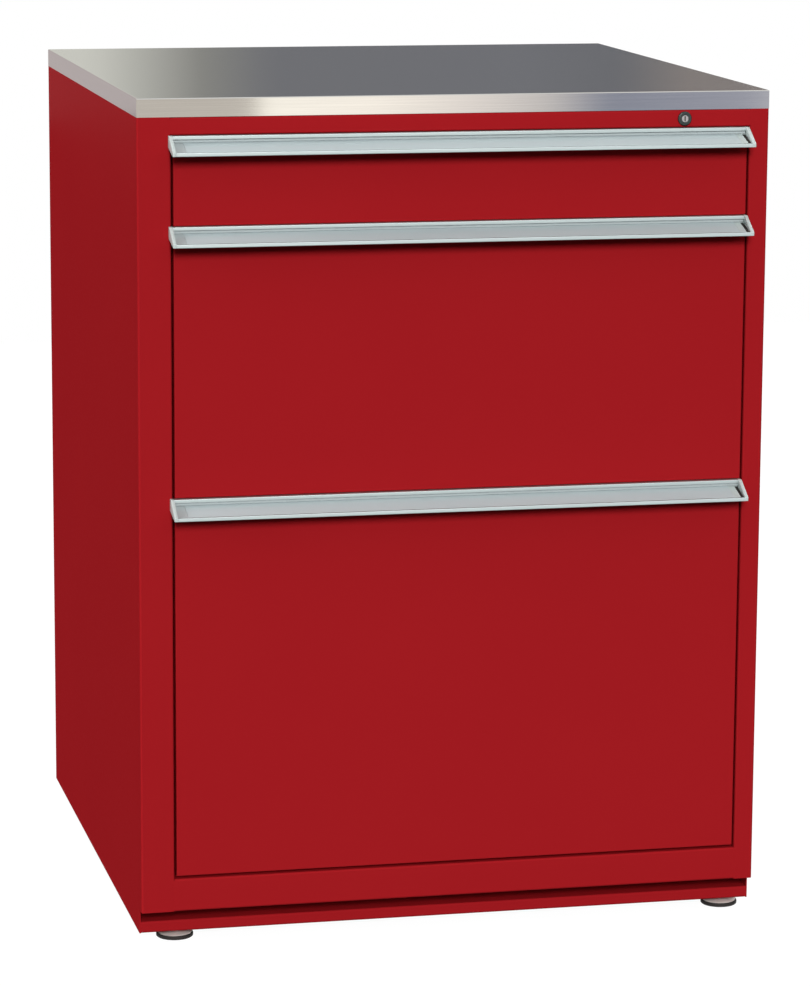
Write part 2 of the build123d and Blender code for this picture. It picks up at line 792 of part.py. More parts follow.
def lock_plug():
    """The turning plug with its keyway."""
    face = front - LOCK_BEZEL_OUT + PLUG_SUNK
    tail = front + LOCK_BARREL_LENGTH + PLUG_TAIL
    plug = rod_along_y(lock_x, lock_z, (face, tail), PLUG_RADIUS)
    keyway = span_box(
        (lock_x - KEYWAY_WIDTH / 2, lock_x + KEYWAY_WIDTH / 2),
        (face - OVERRUN, face + KEYWAY_DEPTH),
        (lock_z - KEYWAY_HEIGHT / 2, lock_z + KEYWAY_HEIGHT / 2),
    )
    return plug - keyway


def lock_rod():
    """The rod from the plug to the back, with a crank and the pin that drives the bar."""
    start = front + LOCK_BARREL_LENGTH + PLUG_TAIL
    crank_back = bar_front - STUD_FIT - STUD_HEAD_THICK
    crank_front = crank_back - CRANK_THICK
    rod = rod_along_y(lock_x, lock_z, (start, crank_back), ROD_RADIUS)
    arm = SlotCenterToCenter(CRANK_RADIUS, CRANK_WIDTH, rotation=LOCK_TURN / 2 - 90)
    pin_x = lock_x + CRANK_RADIUS * sin(half_turn)
    pin_z = lock_z - CRANK_RADIUS * cos(half_turn)
    arm = Pos((lock_x + pin_x) / 2, (lock_z + pin_z) / 2) * arm
    rod += extrude_between(arm, Plane.XZ, crank_front, crank_back)
    return rod + rod_along_y(pin_x, pin_z, (crank_back, bar_back), PIN_RADIUS)


def lock_rod_hangers():
    """Brackets under the top panel that carry the rod."""
    ceiling = body_top - SHEET
    low = lock_z - HANGER_DROP
    hangers = []
    for share in HANGER_SHARES:
        y = front + share * DEPTH
        points = [(y + HANGER_FOOT, ceiling), (y, ceiling), (y, low)]
        hanger = folded_sheet(points, Plane.YZ, lock_x - HANGER_WIDTH / 2, lock_x + HANGER_WIDTH / 2)
        hole = (y - OVERRUN, y + SHEET + OVERRUN)
        hangers.append(hanger - rod_along_y(lock_x, lock_z, hole, ROD_RADIUS + LOCK_FIT))
    return hangers


def build_carcass():
    save("left_side_panel", side_panel(STILE_LEFT))
    save("right_side_panel", mirror(side_panel(STILE_RIGHT), about=Plane.YZ))
    save("back_panel", back_panel())
    save("floor_panel", floor_panel())
    save("top_panel", top_panel())
    save("top_rail", top_rail())
    save("bottom_rail", rail(body_bottom, opening_bottom))
    front_channel = plinth_channel(toe_points(), feet_y["front"], SHEET)
    rear_channel = plinth_channel(heel_points(), feet_y["rear"], bend)
    save("plinth_channels", front_channel, rear_channel)
    save("runner_posts", *runner_posts())
    save("worktop_skin", worktop_skin())
    save("worktop_core", worktop_core())
    save("worktop_screws", *worktop_screws())


def build_lock():
    save("lock_cylinder", lock_cylinder())
    save("lock_nut", lock_nut())
    save("lock_plug", lock_plug())
    save("lock_rod", lock_rod())
    save("lock_rod_hangers", *lock_rod_hangers())
    save("lock_bar", lock_bar())
    save("lock_bar_studs", *lock_bar_studs())


def build_drawer(name, z_span):
    save(name + "_drawer_front", drawer_front(z_span))
    save(name + "_drawer_box", drawer_box(z_span))
    save(name + "_handle", handle(z_span))
    save(name + "_handle_caps", *handle_caps(z_span))
    save(name + "_label_strip", label_strip(z_span))
    save(name + "_handle_screws", *handle_screws(z_span))
    save(name + "_drawer_catch", drawer_catch(z_span))
    save(name + "_fixed_runners", *fixed_runners(z_span))
    save(name + "_middle_runners", *middle_runners(z_span))
    save(name + "_drawer_runners", *drawer_runners(z_span))
    save(name + "_runner_bearings", *runner_bearings(z_span))


def build_feet():
    for depth_name, y in feet_y.items():
        for side_name, x in feet_x.items():
            save(depth_name + "_" + side_name + "_foot_pad", foot_pad(x, y))
            save(depth_name + "_" + side_name + "_foot_stem", foot_stem(x, y))


os.makedirs("parts", exist_ok=True)
build_carcass()
build_lock()
for drawer_name, drawer_z in drawers.items():
    build_drawer(drawer_name, drawer_z)
build_feet()
turn_per_travel = 2 * half_turn / bar_travel
print("lock bar travel", round(bar_travel, 3), "mm, plug turn", round(turn_per_travel, 5), "rad per mm")
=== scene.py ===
# %% [markdown]
# # A red steel drawer cabinet
#
# The cabinet's real pieces come in as a fixed frame: every panel, drawer, runner and screw, at its real size
# and in metres. This lesson gives those pieces their finishes, adds the small turned and threaded parts that
# are easier to model here, and sets the result up for a photograph on a white sweep.

# %% Load the frame
import json
import math

import bpy
from mathutils import Matrix, Vector

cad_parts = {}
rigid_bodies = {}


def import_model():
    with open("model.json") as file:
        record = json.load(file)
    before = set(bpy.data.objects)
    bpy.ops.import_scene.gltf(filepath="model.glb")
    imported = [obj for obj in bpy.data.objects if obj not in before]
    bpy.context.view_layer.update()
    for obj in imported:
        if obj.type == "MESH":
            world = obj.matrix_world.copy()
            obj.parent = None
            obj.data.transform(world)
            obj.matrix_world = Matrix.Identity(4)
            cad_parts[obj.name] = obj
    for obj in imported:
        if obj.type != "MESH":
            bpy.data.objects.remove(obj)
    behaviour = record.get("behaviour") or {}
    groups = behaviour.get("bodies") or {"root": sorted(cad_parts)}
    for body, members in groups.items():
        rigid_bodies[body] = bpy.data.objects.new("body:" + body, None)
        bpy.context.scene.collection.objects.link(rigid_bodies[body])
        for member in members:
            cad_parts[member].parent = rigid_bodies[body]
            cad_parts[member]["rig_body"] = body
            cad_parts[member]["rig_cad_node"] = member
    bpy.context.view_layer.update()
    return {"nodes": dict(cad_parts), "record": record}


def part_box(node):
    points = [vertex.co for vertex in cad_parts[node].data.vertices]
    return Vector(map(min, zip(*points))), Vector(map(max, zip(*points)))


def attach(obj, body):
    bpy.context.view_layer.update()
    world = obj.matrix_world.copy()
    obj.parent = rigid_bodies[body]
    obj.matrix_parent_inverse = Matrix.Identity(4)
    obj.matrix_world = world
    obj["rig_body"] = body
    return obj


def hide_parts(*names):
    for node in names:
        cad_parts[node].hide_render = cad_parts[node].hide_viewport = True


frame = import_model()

MM = 0.001
nodes = frame["nodes"]
slot_of = {part["node"]: part["material_slot"] for part in frame["record"]["subparts"]}

# %% [markdown]
# ## Camera
#
# The camera stands a little to the left of the cabinet and above its top, with a long lens, so that upright
# edges stay almost parallel. Its place was worked out from the straight edges of the cabinet in the picture.
# A closer camera with a wider lens would take in as much, but the slopes of the drawer lines would then be
# wrong.

# %% Camera
CAMERA_PLACE = (-1.078, -4.848, 1.413)
CAMERA_TURN = math.radians(12.77)
CAMERA_DIP = math.radians(10.71)
CAMERA_ROLL = math.radians(0.34)
CAMERA_LENS = 143.7
SENSOR_WIDTH = 36

bpy.ops.object.camera_add()
camera = bpy.context.object
camera.name = "front_left_camera"
camera.data.sensor_width = SENSOR_WIDTH
camera.data.lens = CAMERA_LENS
turn = Matrix.Rotation(-CAMERA_TURN, 4, "Z")
dip = Matrix.Rotation(math.pi / 2 - CAMERA_DIP, 4, "X")
roll = Matrix.Rotation(CAMERA_ROLL, 4, "Z")
camera.matrix_world = Matrix.Translation(CAMERA_PLACE) @ turn @ dip @ roll
bpy.context.scene.camera = camera
print("camera at", CAMERA_PLACE, "with a", CAMERA_LENS, "mm lens")

# %% [markdown]
# ## Colour and node helpers
#
# Colours are written as the eye reads them on a screen, in hex. Shaders work in linear light, so one function
# turns a hex value to linear. A second one adds a node: its settings by name, and its inputs either as plain
# values or as the output of another node. The last two clear a node tree and start a material.


# %% Helpers for colours and nodes
def linear(hex_colour):
    """A hex colour as linear red, green, blue and alpha."""
    channels = [int(hex_colour[start:start + 2], 16) / 255 for start in (1, 3, 5)]
    curve = [c / 12.92 if c <= 0.04045 else ((c + 0.055) / 1.055) ** 2.4 for c in channels]
    return (*curve, 1.0)


def add_node(tree, kind, inputs=None, **settings):
    """Adds a node with its settings; an input is a plain value or another node's output."""
    node = tree.nodes.new(kind)
    for name, value in settings.items():
        setattr(node, name, value)
    for name, value in (inputs or {}).items():
        if isinstance(value, bpy.types.NodeSocket):
            tree.links.new(value, node.inputs[name])
        else:
            node.inputs[name].default_value = value
    return node


def empty_tree(owner):
    """The node tree of a material or a world, switched on and cleared."""
    owner.use_nodes = True
    owner.node_tree.nodes.clear()
    return owner.node_tree


def start_finish(name):
    """A new material, its empty node tree, and the place of a point on the surface."""
    material = bpy.data.materials.new(name)
    tree = empty_tree(material)
    return material, tree, add_node(tree, "ShaderNodeTexCoord").outputs["Object"]


CABINET_RED = "#9c1a1f"
bpy.context.scene.view_settings.view_transform = "Standard"
print("red in linear light:", [round(channel, 3) for channel in linear(CABINET_RED)])

# %% [markdown]
# ## White sweep and studio light
#
# The picture is a catalogue shot: the cabinet alone on white. The floor and the world are white to the camera
# and to reflections, through the light path, so the white adds no light to the paint. A ray that has already
# met a matte surface no longer sees that white, or it would come back by way of the metal handles and fill
# the shadows under them. To all other rays the floor is dark, and the world is a soft dome that fades out at
# the horizon: light that comes only from above keeps the space under each handle black. The floor takes a
# faint shadow.
#
# Three soft suns do the rest. The key comes from the front and above, low enough to tuck a short shadow under
# the handles and the toe. The second lights the left side alone, a little less than the front. The third
# stands behind, to the right, and only fills the two sides that the camera doesn't see.


# %% White floor
def seen_directly(tree):
    """One for a ray from the camera, a mirror or glass that has met nothing matte on its way, else zero."""
    path = add_node(tree, "ShaderNodeLightPath").outputs
    mirrored = add_node(tree, "ShaderNodeMath", {
        0: path["Is Glossy Ray"], 1: path["Is Transmission Ray"]}, operation="MAXIMUM")
    sight = add_node(tree, "ShaderNodeMath", {
        0: path["Is Camera Ray"], 1: mirrored.outputs[0]}, operation="MAXIMUM")
    fresh = add_node(tree, "ShaderNodeMath", {0: path["Diffuse Depth"], 1: 0.5}, operation="LESS_THAN")
    return add_node(tree, "ShaderNodeMath", {
        0: sight.outputs[0], 1: fresh.outputs[0]}, operation="MULTIPLY").outputs[0]


FLOOR_SIZE = 9.0
FLOOR_DROP = 0.5 * MM
FLOOR_WHITE = 0.96
FLOOR_GREY = "#565656"
WHITE = (1, 1, 1, 1)

bpy.ops.object.select_all(action="DESELECT")
bpy.ops.mesh.primitive_plane_add(size=FLOOR_SIZE, location=(0, 0, -FLOOR_DROP))
floor = bpy.context.object
floor.name = "white_floor"

sweep = bpy.data.materials.new("white_sweep")
tree = empty_tree(sweep)
glow = add_node(tree, "ShaderNodeMath", {0: seen_directly(tree), 1: FLOOR_WHITE}, operation="MULTIPLY")
white = add_node(tree, "ShaderNodeEmission", {"Color": WHITE, "Strength": glow.outputs[0]})
matte = add_node(tree, "ShaderNodeBsdfDiffuse", {"Color": linear(FLOOR_GREY)})
both = add_node(tree, "ShaderNodeAddShader", {0: white.outputs[0], 1: matte.outputs[0]})
add_node(tree, "ShaderNodeOutputMaterial", {"Surface": both.outputs[0]})
floor.data.materials.append(sweep)
print("floor", FLOOR_SIZE, "m across")

# %% White world with a dome of light
AMBIENT = 0.47
DOME_STARTS = 0.04
DOME_IS_FULL = 0.40

world = bpy.data.worlds.new("white_studio")
bpy.context.scene.world = world
tree = empty_tree(world)
direction = add_node(tree, "ShaderNodeTexCoord").outputs["Generated"]
height = add_node(tree, "ShaderNodeSeparateXYZ", {0: direction}).outputs["Z"]
dome = add_node(tree, "ShaderNodeMapRange", {
    "Value": height, "From Min": DOME_STARTS, "From Max": DOME_IS_FULL, "To Min": 0.0, "To Max": AMBIENT})
ambient = add_node(tree, "ShaderNodeBackground", {"Color": WHITE, "Strength": dome.outputs["Result"]})
backdrop = add_node(tree, "ShaderNodeBackground", {"Color": WHITE, "Strength": 1.0})
sky = add_node(tree, "ShaderNodeMixShader", {
    0: seen_directly(tree), 1: ambient.outputs[0], 2: backdrop.outputs[0]})
add_node(tree, "ShaderNodeOutputWorld", {"Surface": sky.outputs[0]})
print("ambient light", AMBIENT)

# %% Three soft suns
KEY = {"azimuth": -8, "elevation": 21, "strength": 2.80, "spread": 15}
SIDE = {"azimuth": -94, "elevation": 24, "strength": 1.78, "spread": 25}
FILL = {"azimuth": 138, "elevation": 32, "strength": 2.4, "spread": 40}


def add_sun(name, azimuth, elevation, strength, spread):
    """A sun at this azimuth from the front (left is negative) and elevation, in degrees from the cabinet."""
    bpy.ops.object.light_add(type="SUN")
    sun = bpy.context.object
    sun.name = name
    sun.data.energy = strength
    sun.data.angle = math.radians(spread)
    across = math.radians(azimuth)
    up = math.radians(elevation)
    towards = Vector((math.sin(across) * math.cos(up), -math.cos(across) * math.cos(up), math.sin(up)))
    sun.rotation_mode = "QUATERNION"
    sun.rotation_quaternion = towards.to_track_quat("Z", "Y")


add_sun("key_sun", **KEY)
add_sun("side_sun", **SIDE)
add_sun("rear_fill_sun", **FILL)
print("key sun at", KEY["elevation"], "degrees, side sun at", SIDE["elevation"], "degrees")

# %% [markdown]
# ## Cards for the reflections
#
# Metal shows the room more than itself. A photographer sets up cards outside the picture and tunes the metal
# with them, and so does this scene. A tall card behind the cabinet is what the flat worktop mirrors at its
# low angle: pale left of the middle, and grey on either side of that. A second one far in front is mirrored
# by the worktop's front edge: a bright patch, then a cool grey towards the right. Grey cards far out on both
# sides serve the worktop when it is looked at from the side. Dark flags beyond the left side, one upright and
# one on the floor, keep white glare off its paint, and the pale card above them is for the worktop's left
# edge. All are seen only in reflections, so they neither hide the cabinet nor shade it.


# %% Reflection cards
def add_card(name, corner, width, height, tones, strength=1.0, lean=90, along="X"):
    """A card along X or Y, seen only in reflections; tones are pairs of a place along it and a colour."""
    bpy.ops.object.select_all(action="DESELECT")
    bpy.ops.mesh.primitive_plane_add(size=1.0)
    card = bpy.context.object
    card.name = name
    raised = Matrix.Rotation(math.radians(lean), 4, "X")
    from_corner = Matrix.Translation((width / 2, height / 2, 0)) @ Matrix.Diagonal((width, height, 1, 1))
    turned = Matrix.Rotation(math.pi / 2 if along == "Y" else 0, 4, "Z")
    card.data.transform(Matrix.Translation(corner) @ turned @ raised @ from_corner)
    start = corner[1] if along == "Y" else corner[0]
    for sight in ("visible_camera", "visible_diffuse", "visible_shadow"):
        setattr(card, sight, False)
    paper, tree, place = start_finish(name + "_paper")
    across = add_node(tree, "ShaderNodeSeparateXYZ", {0: place}).outputs[along]
    share = add_node(tree, "ShaderNodeMapRange", {
        "Value": across, "From Min": start, "From Max": start + width})
    ramp = add_node(tree, "ShaderNodeValToRGB", {"Fac": share.outputs["Result"]})
    stops = ramp.color_ramp.elements
    while len(stops) < len(tones):
        stops.new(0.5)
    for stop, (where, tone) in zip(stops, tones):
        stop.position = (where - start) / width
        stop.color = linear(tone)
    glow = add_node(tree, "ShaderNodeMath", {0: seen_directly(tree), 1: strength}, operation="MULTIPLY")
    lit = add_node(tree, "ShaderNodeEmission", {"Color": ramp.outputs["Color"], "Strength": glow.outputs[0]})
    add_node(tree, "ShaderNodeOutputMaterial", {"Surface": lit.outputs["Emission"]})
    card.data.materials.append(paper)
    print(name, round(width, 3), "by", round(height, 3), "m")


FRONT_CARD_GLOW = 1.5
add_card("rear_grey_card", (-6.0, 3.0, 0.6), 10.5, 5.0, [
    (-6.0, "#8c8d90"), (-2.9, "#84858a"), (-2.3, "#cfcfc9"), (-2.0, "#f2f2ea"), (0.05, "#dadad2"),
    (0.28, "#91918d"), (0.42, "#797a7f"), (0.94, "#77787e"), (1.16, "#6f7076"), (1.30, "#88817f"),
    (3.0, "#948d8b")])
add_card("front_card", (-3.0, -3.5, 0.0), 7.0, 2.4, [
    (-3.0, "#e4ded6"), (0.0, "#beb8b1"), (0.345, "#beb8b1"), (0.355, "#fffaf1"), (0.58, "#fdf6ee"),
    (0.80, "#e0d9d6"), (0.94, "#c4c0c0"), (1.06, "#878b9b"), (1.36, "#999ba9"), (1.60, "#e6e6e6")],
    strength=FRONT_CARD_GLOW)

# %% Grey cards far out on both sides
SIDE_CARD_OUT = 4.2
SIDE_CARD_FRONT = -2.8
SIDE_CARD_WIDTH = 5.6
SIDE_CARD_HEIGHT = 3.4
side_tones = [(-2.8, "#8c8d90"), (-0.3, "#9a9b9d"), (0.25, "#d2d2cd"), (0.5, "#b0b0ae"), (2.8, "#8c8d90")]

for side, out in (("left", -SIDE_CARD_OUT), ("right", SIDE_CARD_OUT)):
    add_card(side + "_side_card", (out, SIDE_CARD_FRONT, 0.0), SIDE_CARD_WIDTH, SIDE_CARD_HEIGHT, side_tones,
             along="Y")

# %% Flags and card beyond the left side
FLAG_TONE = "#4d2a2b"
EDGE_TONE = "#c2b8b8"
FAR_END = -3.6
NEAR_END = -0.385
FLOOR_NEAR_END = -0.382
FLAG_BACK = 0.62
FLAG_FRONT = -1.2
FLAG_TOP = 0.90
EDGE_CARD_TOP = 1.60
FLOOR_FLAG_LIFT = 0.2 * MM

flag_tones = [(FAR_END, FLAG_TONE), (NEAR_END, FLAG_TONE)]
edge_tones = [(FAR_END, EDGE_TONE), (NEAR_END, EDGE_TONE)]
flag_width = NEAR_END - FAR_END
edge_height = EDGE_CARD_TOP - FLAG_TOP
add_card("left_flag", (FAR_END, FLAG_BACK, 0.0), flag_width, FLAG_TOP, flag_tones)
add_card("left_edge_card", (FAR_END, FLAG_BACK, FLAG_TOP), flag_width, edge_height, edge_tones)
add_card("left_floor_flag", (FAR_END, FLAG_FRONT, FLOOR_FLAG_LIFT), FLOOR_NEAR_END - FAR_END,
         FLAG_BACK - FLAG_FRONT, flag_tones, lean=0)

# %% [markdown]
# ## Powder coat
#
# The carcass and drawer fronts are sheet steel sprayed with dry polyester powder and baked. The powder melts
# to a tough, even skin with a very fine orange peel and a low, broad gloss. A plain colour would look like
# paper, so a fine noise roughens and dimples it, and a slow one shifts its tone by a hair over each panel.
# The real peel is about 2 mm from crest to crest.


# %% Powder coat, red outside and grey in the drawers
def powder_coat(name, tone, deep_tone, gloss, peel_mm=2.0, cloud_mm=160):
    """Sprayed and baked polyester powder, with its peel and a slow drift between two tones."""
    material, tree, place = start_finish(name)
    cloud = add_node(tree, "ShaderNodeTexNoise", {
        "Vector": place, "Scale": 1 / (cloud_mm * MM), "Detail": 2.0})
    tint = add_node(tree, "ShaderNodeMix", {
        "Factor": cloud.outputs["Fac"], "A": linear(tone), "B": linear(deep_tone)}, data_type="RGBA")
    peel = add_node(tree, "ShaderNodeTexNoise", {
        "Vector": place, "Scale": 1 / (peel_mm * MM), "Detail": 3.0}).outputs["Fac"]
    rough = add_node(tree, "ShaderNodeMapRange", {"Value": peel, "To Min": 0.42, "To Max": 0.6})
    dimple = add_node(tree, "ShaderNodeBump", {"Height": peel, "Strength": 0.12, "Distance": 0.08 * MM})
    shader = add_node(tree, "ShaderNodeBsdfPrincipled", {
        "Base Color": tint.outputs["Result"], "Roughness": rough.outputs["Result"],
        "Normal": dimple.outputs["Normal"], "Specular IOR Level": gloss})
    add_node(tree, "ShaderNodeOutputMaterial", {"Surface": shader.outputs["BSDF"]})
    return material


red_paint = powder_coat("red_polyester_powder_coat", CABINET_RED, "#99181e", 0.008)
grey_paint = powder_coat("light_grey_powder_coat", "#b9bbba", "#b3b5b5", 0.3)
print("paints:", red_paint.name, grey_paint.name)

# %% [markdown]
# ## Brushed stainless steel
#
# The worktop is stainless sheet with a brushed mill finish: an abrasive belt has drawn it in one direction
# and left long fine scratches. They spread a reflection across themselves and keep it sharp along themselves,
# so the metal looks streaky and silky. The scratches run from left to right on the top and the front edge,
# and from front to back on the folded side edges. Real scratches are about 0.1 mm apart, too fine to show, so
# these are drawn at 0.9 mm.


# %% Stainless worktop
def brushed_stainless(name, bright, dull, scratch_mm=0.9, run_mm=140):
    """Sheet brushed along X, or along Y where it faces sideways."""
    material, tree, place = start_finish(name)
    normal = add_node(tree, "ShaderNodeSeparateXYZ", {
        0: add_node(tree, "ShaderNodeNewGeometry").outputs["True Normal"]})
    sideways = add_node(tree, "ShaderNodeMath", {0: normal.outputs["X"]}, operation="ABSOLUTE")
    is_side = add_node(tree, "ShaderNodeMath", {
        0: sideways.outputs[0], 1: 0.5}, operation="GREATER_THAN").outputs[0]
    is_flat = add_node(tree, "ShaderNodeMath", {0: 1.0, 1: is_side}, operation="SUBTRACT").outputs[0]
    along, across = 1 / (run_mm * MM), 1 / (scratch_mm * MM)
    grain = []
    for scale in ((along, across, across), (across, along, across)):
        turned = add_node(tree, "ShaderNodeMapping", {"Vector": place, "Scale": scale})
        scratches = add_node(tree, "ShaderNodeTexNoise", {
            "Vector": turned.outputs["Vector"], "Scale": 1.0, "Detail": 4.0, "Roughness": 0.6})
        grain.append(scratches.outputs["Fac"])
    depth = add_node(tree, "ShaderNodeMix", {
        "Factor": is_side, "A": grain[0], "B": grain[1]}).outputs["Result"]
    tint = add_node(tree, "ShaderNodeMix", {
        "Factor": depth, "A": linear(dull), "B": linear(bright)}, data_type="RGBA")
    rough = add_node(tree, "ShaderNodeMapRange", {"Value": depth, "To Min": 0.07, "To Max": 0.12})
    score = add_node(tree, "ShaderNodeBump", {"Height": depth, "Strength": 0.15, "Distance": 0.03 * MM})
    lengthways = add_node(tree, "ShaderNodeCombineXYZ", {"X": is_flat, "Y": is_side})
    shader = add_node(tree, "ShaderNodeBsdfPrincipled", {
        "Base Color": tint.outputs["Result"], "Roughness": rough.outputs["Result"],
        "Normal": score.outputs["Normal"], "Tangent": lengthways.outputs["Vector"],
        "Metallic": 1.0, "Anisotropic": 1.0, "Anisotropic Rotation": 0.25})
    add_node(tree, "ShaderNodeOutputMaterial", {"Surface": shader.outputs["BSDF"]})
    return material


stainless = brushed_stainless("brushed_stainless_steel", "#d8d7d3", "#c4c3c0")
print("worktop:", stainless.name)

# %% [markdown]
# ## Extruded and plated metals
#
# The pulls are aluminium extrusions, etched and clear anodised: a pale, cool silver with a soft gloss and
# faint die lines along their length. The runners, posts, screws and lock linkage are zinc plated, a duller
# grey with cloudy patches. The lock has a ring in black chrome round a nickel plug, and the feet have domes
# blasted matte and then nickel plated. One function covers them all, since they differ only in colour, gloss
# and the size and direction of their marks. Real die lines and blasted grain are a few tenths of a millimetre
# across, too fine to show, so they are drawn at 1.2 and 1.5 mm.


# %% Aluminium, zinc, nickel, black chrome and blasted nickel
def worked_metal(name, bright, dull, rough_low, rough_high, mark_mm):
    """A metal whose marks have these lengths along X, Y and Z."""
    material, tree, place = start_finish(name)
    scale = [1 / (size * MM) for size in mark_mm]
    marks = add_node(tree, "ShaderNodeMapping", {"Vector": place, "Scale": scale})
    noise = add_node(tree, "ShaderNodeTexNoise", {
        "Vector": marks.outputs["Vector"], "Scale": 1.0, "Detail": 3.0}).outputs["Fac"]
    tint = add_node(tree, "ShaderNodeMix", {
        "Factor": noise, "A": linear(dull), "B": linear(bright)}, data_type="RGBA")
    rough = add_node(tree, "ShaderNodeMapRange", {"Value": noise, "To Min": rough_low, "To Max": rough_high})
    ridge = add_node(tree, "ShaderNodeBump", {"Height": noise, "Strength": 0.2, "Distance": 0.02 * MM})
    shader = add_node(tree, "ShaderNodeBsdfPrincipled", {
        "Base Color": tint.outputs["Result"], "Roughness": rough.outputs["Result"],
        "Normal": ridge.outputs["Normal"], "Metallic": 1.0})
    add_node(tree, "ShaderNodeOutputMaterial", {"Surface": shader.outputs["BSDF"]})
    return material


aluminium = worked_metal("anodised_aluminium", "#aeb9b9", "#a0abab", 0.40, 0.50, (220, 1.2, 1.2))
zinc = worked_metal("zinc_plated_steel", "#b4b6b8", "#97999c", 0.30, 0.48, (9, 9, 9))
nickel = worked_metal("nickel_plated_brass", "#d6d2cb", "#c6c2bc", 0.16, 0.26, (3, 3, 3))
dark_chrome = worked_metal("black_chrome_plate", "#4d5552", "#3a413f", 0.18, 0.28, (2, 2, 2))
satin_nickel = worked_metal("blasted_nickel_plate", "#f4eeea", "#e8e1dd", 0.74, 0.86, (1.5, 1.5, 1.5))
print("metals:", aluminium.name, zinc.name, nickel.name, dark_chrome.name, satin_nickel.name)

# %% [markdown]
# ## Plastics, label card and board
#
# The end caps are moulded ABS in the aluminium's colour, with the fine spark-eroded grain of their mould, and
# the small stop beside each label is the same plastic in a darker grey, as is the retainer strip under each
# lip. That darker grey is painted shade, for the places in shade at the channel's end and under the lip. The
# label strip is pale blue-grey card behind a matte plastic front. Bearing strips are white acetal, and the
# feet stand on black rubber; the same black on the slot plugs is painted shade, for the dark of the open
# slot. The board inside the worktop is raw chipboard, pressed wood flakes a few millimetres long. The mould's
# grain is really about 0.1 mm, too fine to show, and is drawn at 0.6 mm.


# %% Plastics, card and board
def speckled(name, tone, deep_tone, rough, grain_mm, bump_mm, gloss=0.5, texture="ShaderNodeTexNoise"):
    """A moulded or pressed material with a fine grain between two tones."""
    material, tree, place = start_finish(name)
    grain = add_node(tree, texture, {"Vector": place, "Scale": 1 / (grain_mm * MM)})
    value = grain.outputs["Fac"] if texture == "ShaderNodeTexNoise" else grain.outputs["Distance"]
    tint = add_node(tree, "ShaderNodeMix", {
        "Factor": value, "A": linear(tone), "B": linear(deep_tone)}, data_type="RGBA")
    bump = add_node(tree, "ShaderNodeBump", {"Height": value, "Strength": 0.2, "Distance": bump_mm * MM})
    shader = add_node(tree, "ShaderNodeBsdfPrincipled", {
        "Base Color": tint.outputs["Result"], "Normal": bump.outputs["Normal"],
        "Roughness": rough, "Specular IOR Level": gloss})
    add_node(tree, "ShaderNodeOutputMaterial", {"Surface": shader.outputs["BSDF"]})
    return material


cap_plastic = speckled("moulded_abs_silver", "#bcc8c6", "#b3bebc", 0.45, 0.6, 0.02)
# The darker grey is painted shade: the left label stops and the retainers take it where the channel lies in
# shade.
shade_grey_plastic = speckled("abs_grey_painted_shade", "#afb8b9", "#a5aeaf", 0.5, 0.6, 0.02)
label_card = speckled("blue_grey_label_strip", "#b6c2c4", "#b0bcbe", 0.5, 1.2, 0.01, gloss=0.3)
# The same black is the feet's rubber and, on the slot plugs, painted shade for the dark of the open slot.
black_rubber_and_shade = speckled("black_rubber_and_painted_shade", "#26211f", "#1b1817", 0.7, 0.8, 0.05, gloss=0.3)
acetal = speckled("white_acetal", "#dcdcd6", "#d2d2cc", 0.35, 2.0, 0.01)
chipboard = speckled("raw_chipboard", "#b08d5e", "#86663e", 0.8, 4.0, 0.2, 0.2, "ShaderNodeTexVoronoi")
print("soft finishes:", cap_plastic.name, shade_grey_plastic.name, label_card.name, black_rubber_and_shade.name, acetal.name)

# %% [markdown]
# ## Finishes on the frame's pieces
#
# Each piece of the frame says which finish it takes, in its material slot, so a short table is enough to
# dress the whole cabinet. The meshes themselves are left as they are.

# %% Dress the frame
finish_of_slot = {
    "red_powder_coat": red_paint,
    "grey_powder_coat": grey_paint,
    "stainless": stainless,
    "aluminium": aluminium,
    "cap_plastic": cap_plastic,
    "label": label_card,
    "zinc_plate": zinc,
    "lock_nickel": nickel,
    "lock_bezel": dark_chrome,
    "foot_steel": satin_nickel,
    "board": chipboard,
    "bearing_plastic": acetal,
}
for name, piece in nodes.items():
    piece.data.materials.clear()
    piece.data.materials.append(finish_of_slot[slot_of[name]])
print("dressed", len(nodes), "pieces in", len(finish_of_slot), "finishes")

# %% [markdown]
# ## Modelling by hand
#
# The pieces below are modelled as by hand: a primitive, then edit mode, then a modifier where that is less
# work. An operator acts on all that is selected, so everything is deselected first, and faces or points are
# then picked by their place. What repeats is modelled once and copied.

# %% [markdown]
# ## Levelling feet: turned pads
#
# Each foot is a matte nickel-plated dome pressed onto a black rubber tread. It could be spun from a drawn
# outline. Here it is built up like a pot on a wheel, which needs no drawing: a disc, whose top is extruded
# and scaled ring by ring, up over the tread, in at the groove, over the dome, and down into the hole that
# takes the stem.


# %% Turned foot pad
def pick_only(piece):
    """Selects this piece alone and makes it the active one."""
    bpy.ops.object.select_all(action="DESELECT")
    piece.select_set(True)
    bpy.context.view_layer.objects.active = piece


def smooth(piece, angle):
    """Shades a piece smooth, but keeps edges sharper than this angle in degrees."""
    pick_only(piece)
    bpy.ops.object.shade_smooth_by_angle(angle=math.radians(angle))


PAD_SIDES = 64
# The radius and height of each ring, in millimetres.
PAD_RINGS = [
    (21.4, 0.1), (22.4, 0.9), (22.5, 2.4), (22.4, 4.0), (22.0, 4.6), (21.0, 4.8), (20.4, 4.8), (20.4, 5.0),
    (20.6, 5.2), (19.6, 5.7), (17.0, 6.45), (14.0, 7.1), (11.4, 7.6), (9.6, 7.92), (8.9, 8.0), (5.1, 8.0),
    (5.1, 3.1)]
TREAD_HEIGHT = 4.9 * MM

